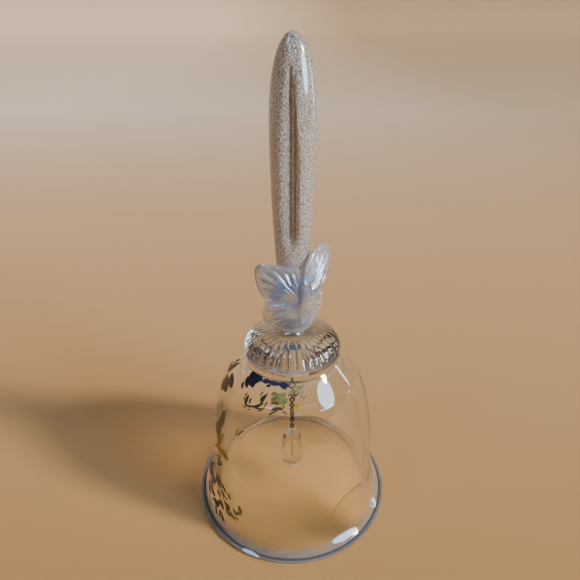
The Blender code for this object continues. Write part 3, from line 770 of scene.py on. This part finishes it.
# (angle and height of its middle, length, width, lean from level, bend), degrees and millimetres
ENAMEL = {
    "violet": (
        (-109.8, 70.2, 4.6, 1.9, 0, 0.1), (-100.5, 70.3, 4.4, 1.7, 0, 0.1),
        (-118.5, 70.2, 3.4, 1.8, 20, 0.1), (-171.5, 58.5, 4.3, 5.5, -24, -0.15),
        (-160.0, 63.1, 6.2, 3.9, -18, 0.2), (-166.0, 60.5, 7.8, 5.3, -27, -0.15),
        (-169.8, 66.1, 8.5, 1.9, 67, 0.2), (-177.0, 64.1, 5.4, 3.7, -23, -0.15),
        (-135.5, 69.5, 6.4, 4.4, -87, 0.2), (-138.8, 67.5, 4.4, 2.1, -60, -0.15),
        (-130.5, 69.7, 4.1, 2.8, -103, 0.2), (-126.3, 70.5, 2.5, 1.6, -118, -0.15)),
    "leaf": (
        (-131.0, 62.9, 4.6, 1.4, 90, 0.2), (-120.2, 63.1, 6.0, 0.9, 35, -0.15),
        (-115.5, 65.3, 5.4, 1.1, 70, 0.2), (-128.0, 61.7, 3.8, 0.9, 10, -0.15),
        (-102.8, 63.3, 5.0, 1.2, 16, 0.2), (-98.8, 63.9, 2.6, 0.9, 40, -0.15),
        (-86.5, 67.5, 3.5, 0.8, 40, 0.2)),
    "olive": (
        (-105.2, 66.3, 4.9, 2.6, 58, -0.15), (-100.0, 66.5, 5.9, 2.2, 57, 0.2),
        (-102.0, 66.5, 4.3, 1.7, 0, -0.15), (-88.2, 69.1, 4.9, 1.3, 74, 0.2),
        (-80.8, 69.9, 3.3, 1.1, 14, -0.15), (-80.5, 67.9, 2.9, 1.1, 63, 0.2),
        (-152.8, 49.3, 10.3, 3.4, -101, 0.2), (-156.2, 42.5, 9.5, 5.0, -86, -0.15),
        (-130.5, 50.9, 4.9, 0.8, 57, -0.15), (-170.8, 7.1, 10.5, 2.0, 11, 0.2)),
    "gold": (
        (-85.5, 64.1, 3.1, 1.9, 9, -0.15), (-84.5, 65.1, 3.4, 1.0, 0, 0.2),
        (-98.3, 64.1, 1.9, 1.0, -30, -0.15), (-154.5, 38.3, 17.0, 2.0, -121, 0.2),
        (-152.8, 35.5, 5.5, 5.7, -33, -0.15), (-143.8, 35.9, 5.7, 3.9, -12, 0.2),
        (-145.0, 11.9, 3.3, 1.5, -58, -0.15)),
    "grass": (
        (-153.2, 28.3, 9.3, 1.7, -112, 0.2), (-187.2, 4.1, 17.0, 1.0, -115, -0.15),
        (-182.0, 4.1, 13.1, 1.8, 23, 0.2), (-169.5, 9.7, 13.4, 4.0, 24, -0.15),
        (-153.5, 15.7, 6.3, 3.7, -7, 0.2), (-145.8, 18.3, 5.1, 2.2, -7, -0.15),
        (-168.0, 3.9, 7.2, 1.4, -2, 0.2), (-160.8, 5.9, 5.1, 1.4, 5, -0.15),
        (-152.2, 5.1, 5.4, 1.9, 0, 0.2), (-148.5, 3.9, 3.5, 1.0, -23, -0.15),
        (-146.5, 7.7, 5.0, 2.3, -25, 0.2), (-141.8, 4.7, 4.7, 0.8, -21, -0.15),
        (-140.2, 10.1, 5.3, 2.2, -22, 0.2), (-137.8, 7.7, 2.8, 1.4, -13, -0.15),
        (-133.0, 7.9, 4.0, 1.2, -18, 0.2), (-131.5, 11.3, 3.4, 1.5, -46, -0.15),
        (-127.5, 13.7, 4.7, 1.2, -64, 0.2), (-137.5, 16.5, 2.5, 1.7, -34, -0.15),
        (-145.0, 13.9, 2.9, 2.2, -29, 0.2), (-151.5, 10.5, 3.6, 2.0, -52, -0.15)),
}
# deep and thin pigment
ENAMEL_COLOURS = {
    "violet": ("#120d1d", "#2d2340"), "leaf": ("#20241a", "#4a4c34"), "olive": ("#4a4a26", "#8c8448"),
    "gold": ("#8a6420", "#c2953e"), "grass": ("#161d1a", "#3c4638")}
# smaller blades beside each blade
ENAMEL_SPRIGS = {"violet": 2, "leaf": 3, "olive": 3, "gold": 0, "grass": 3}


def blade(angle, height, length, width, lean, bend):
    """Leaf on the wall: half its width is a power of a sine of the share along it, its middle line bends by
    a parabola, and its faces stand 0.02 mm and up to 0.07 mm off the glass and meet at the outline."""
    s = np.linspace(0.0, 1.0, 20)[:, None]
    t = np.linspace(-1.0, 1.0, 9)[None, :]
    along = (s - 0.5) * length * MM + 0 * t
    half_width = 0.5 * width * np.sin(math.pi * s) ** 0.75 * t
    across = (half_width + bend * length * (1 - (2 * s - 1) ** 2) * 0.3) * MM
    turn = math.radians(lean)
    level = along * math.cos(turn) - across * math.sin(turn)
    rise = along * math.sin(turn) + across * math.cos(turn)
    middle = height * MM
    out, _ = outer_normal(np.array(middle))
    heights = np.clip(middle + rise * out, 3.0 * MM, BODY_TOP - 0.3 * MM)
    angles = math.radians(angle) + level / outer_radius(heights)
    thick = 0.05 * MM * np.sqrt(np.clip(1 - t ** 4, 0, 1)) * np.sqrt(np.sin(math.pi * s).clip(0, 1))
    front = on_wall(angles, heights, 0.02 * MM + thick)
    back = on_wall(angles, heights, 0.02 * MM + 0 * thick)
    return np.concatenate([front, back[::-1]]), False, False


def sprigs(blades, extra):
    """The blades, and beside each one some smaller ones set off and turned at random."""
    chance = np.random.default_rng(11)
    small = []
    for angle, height, length, width, lean, bend in blades:
        for _ in range(extra):
            aside, rise, turn = chance.uniform(-1.0, 1.0, 3)
            size = chance.uniform(0.4, 0.75)
            small.append((angle + 4.0 * aside, min(max(height + 1.6 * rise, 4.0), 70.0),
                          length * size, width * size, lean + 28.0 * turn, bend * 1.5))
    return (*blades, *small)


def make_enamel():
    """One piece of blades to each pigment."""
    for name, blades in ENAMEL.items():
        deep, thin = ENAMEL_COLOURS[name]
        blades = sprigs(blades, ENAMEL_SPRIGS[name])
        mesh = mesh_of(f"enamel_{name}", [blade(*spec) for spec in blades])
        piece(f"enamel_{name}", mesh, enamel(f"fired_enamel_{name}", deep, thin), "bell", "film")


def make_label():
    """Disc of film: rings of points laid on the wall, both faces, with a rounded edge."""
    low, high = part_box("blank_label")
    centre = (low.z + high.z) / 2
    share = np.concatenate([np.linspace(0.0, 0.96, 18), [0.98, 0.995, 1.0]])[:, None]
    angle = around(96)
    level = LABEL_RADIUS * share * np.cos(angle)
    rise = LABEL_RADIUS * share * np.sin(angle)
    heights = centre + rise
    turn = LABEL_TURN + level / outer_radius(heights)
    half = LABEL_HALF_THICKNESS * np.sqrt(1 - share ** 24)
    front = on_wall(turn, heights, LABEL_LIFT + half)
    back = on_wall(turn, heights, LABEL_LIFT - half)
    mesh = mesh_of("label_film", [(np.concatenate([front, back[::-1]]), False, True)])
    piece("label_film", mesh, clear_film(), "bell", "film", "blank_label")


def dress_bonds():
    """The adhesive films keep the model's own shape."""
    glue = cured_adhesive()
    for node in ("crown_bond", "handle_bond"):
        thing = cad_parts[node]
        thing.data.materials.clear()
        thing.data.materials.append(glue)


# Studio ---------------------------------------------------------------------

def make_floor():
    """Tan paper that runs back and curves up behind."""
    bend = 0.5
    angle = np.linspace(0.0, math.pi / 2, 24)
    back = 4.0
    line = np.concatenate([
        np.column_stack([np.linspace(-5.0, back, 24), np.zeros(24)]),
        np.column_stack([back + bend * np.sin(angle), bend - bend * np.cos(angle)])[1:],
        [(back + bend, 4.4)]])
    x = np.linspace(-5.0, 5.0, 12)[None, :]
    grid = np.stack([x + 0 * line[:, :1], line[:, :1] + 0 * x, line[:, 1:] + 0 * x], -1)
    mesh = mesh_of("paper_sweep", [(grid, False, False)])
    thing = bpy.data.objects.new("paper_sweep", mesh)
    bpy.context.scene.collection.objects.link(thing)
    if mesh.polygons[0].normal.z < 0:
        mesh.flip_normals()
    material, tree, shader, place = finish("tan_paper", Roughness=0.85, IOR=1.3)
    # painted light and shade: the paper's colour is drawn by place, lighter further back and darker to the
    # right
    where = add(tree, "ShaderNodeSeparateXYZ", {"Vector": place}).outputs
    behind = add(tree, "ShaderNodeMapRange", {"Value": where["Y"]},
                 From_Min=-0.05, From_Max=0.9).outputs["Result"]
    aside = add(tree, "ShaderNodeMapRange", {"Value": where["X"]},
                From_Min=-0.5, From_Max=0.5).outputs["Result"]
    tan_and_painted_light = ramp(tree, behind, [(0.0, "#b98a51"), (0.2, "#d0a26c"), (0.4, "#dcb384"), (1.0, "#f8e6cf")])
    shade = ramp(tree, aside, [(0.0, "#ffffff"), (1.0, "#d4cbbd")])
    both = add(tree, "ShaderNodeMixRGB", {"Color1": tan_and_painted_light, "Color2": shade}, blend_type="MULTIPLY", Fac=1.0)
    tree.links.new(both.outputs["Color"], shader.inputs["Base Color"])
    mesh.materials.append(material)


def area_light(name, towards, distance, size, power, code):
    """Soft panel that faces the bell from a direction."""
    light = bpy.data.lights.new(name, "AREA")
    light.shape = "ELLIPSE"
    light.size, light.size_y = size
    light.energy = power
    light.color = colour(code)[:3]
    thing = bpy.data.objects.new(name, light)
    away = Vector(towards).normalized()
    thing.location = away * distance + Vector((0.0, 0.0, 0.06))
    thing.rotation_euler = away.to_track_quat("Z", "Y").to_euler()
    bpy.context.scene.collection.objects.link(thing)


def make_studio():
    """Paper sweep, a low sun, soft panels and a dim room all round."""
    make_floor()
    sun = bpy.data.lights.new("daylight", "SUN")
    sun.energy = 4.2
    sun.angle = math.radians(9.0)
    sun.color = colour("#fff0da")[:3]
    thing = bpy.data.objects.new("daylight", sun)
    thing.rotation_euler = Vector((0.82, -0.26, 0.52)).to_track_quat("Z", "Y").to_euler()
    bpy.context.scene.collection.objects.link(thing)
    area_light("window", (0.80, -0.47, 0.35), 0.9, (0.44, 0.44), 12.0, "#b8d8ff")
    area_light("sky_panel", (0.05, 0.25, 0.95), 1.2, (0.8, 0.5), 1.8, "#dceaff")
    area_light("door_gap", (0.95, 0.27, 0.17), 0.9, (0.05, 0.40), 1.2, "#e4efff")
    area_light("blue_skylight", (-0.45, -0.30, 0.84), 0.8, (0.16, 0.22), 1.5, "#9cc4ff")
    world = bpy.data.worlds.new("room")
    world.use_nodes = True
    tree = world.node_tree
    up = add(tree, "ShaderNodeSeparateXYZ", {"Vector": add(tree, "ShaderNodeTexCoord").outputs["Generated"]})
    sky = ramp(tree, up.outputs["Z"], [
        (0.0, "#b8a186"), (0.10, "#97846c"), (0.32, "#4a433b"), (0.55, "#30353d"), (1.0, "#7e93ae")])
    background = tree.nodes["Background"]
    tree.links.new(sky, background.inputs["Color"])
    background.inputs["Strength"].default_value = 1.0
    bpy.context.scene.world = world


def make_camera():
    """Above the bell's front, tilted down at it."""
    camera = bpy.data.cameras.new("camera")
    camera.sensor_width = 36.0
    camera.lens = CAMERA_LENS
    camera.clip_start = 0.01
    thing = bpy.data.objects.new("camera", camera)
    thing.location = CAMERA_PLACE
    thing.rotation_euler = (CAMERA_TILT, 0.0, 0.0)
    bpy.context.scene.collection.objects.link(thing)
    bpy.context.scene.camera = thing


make_body()
make_crown()
make_handle()
make_hanger()
make_chain()
make_clapper()
make_enamel()
make_label()
dress_bonds()
make_studio()
make_camera()
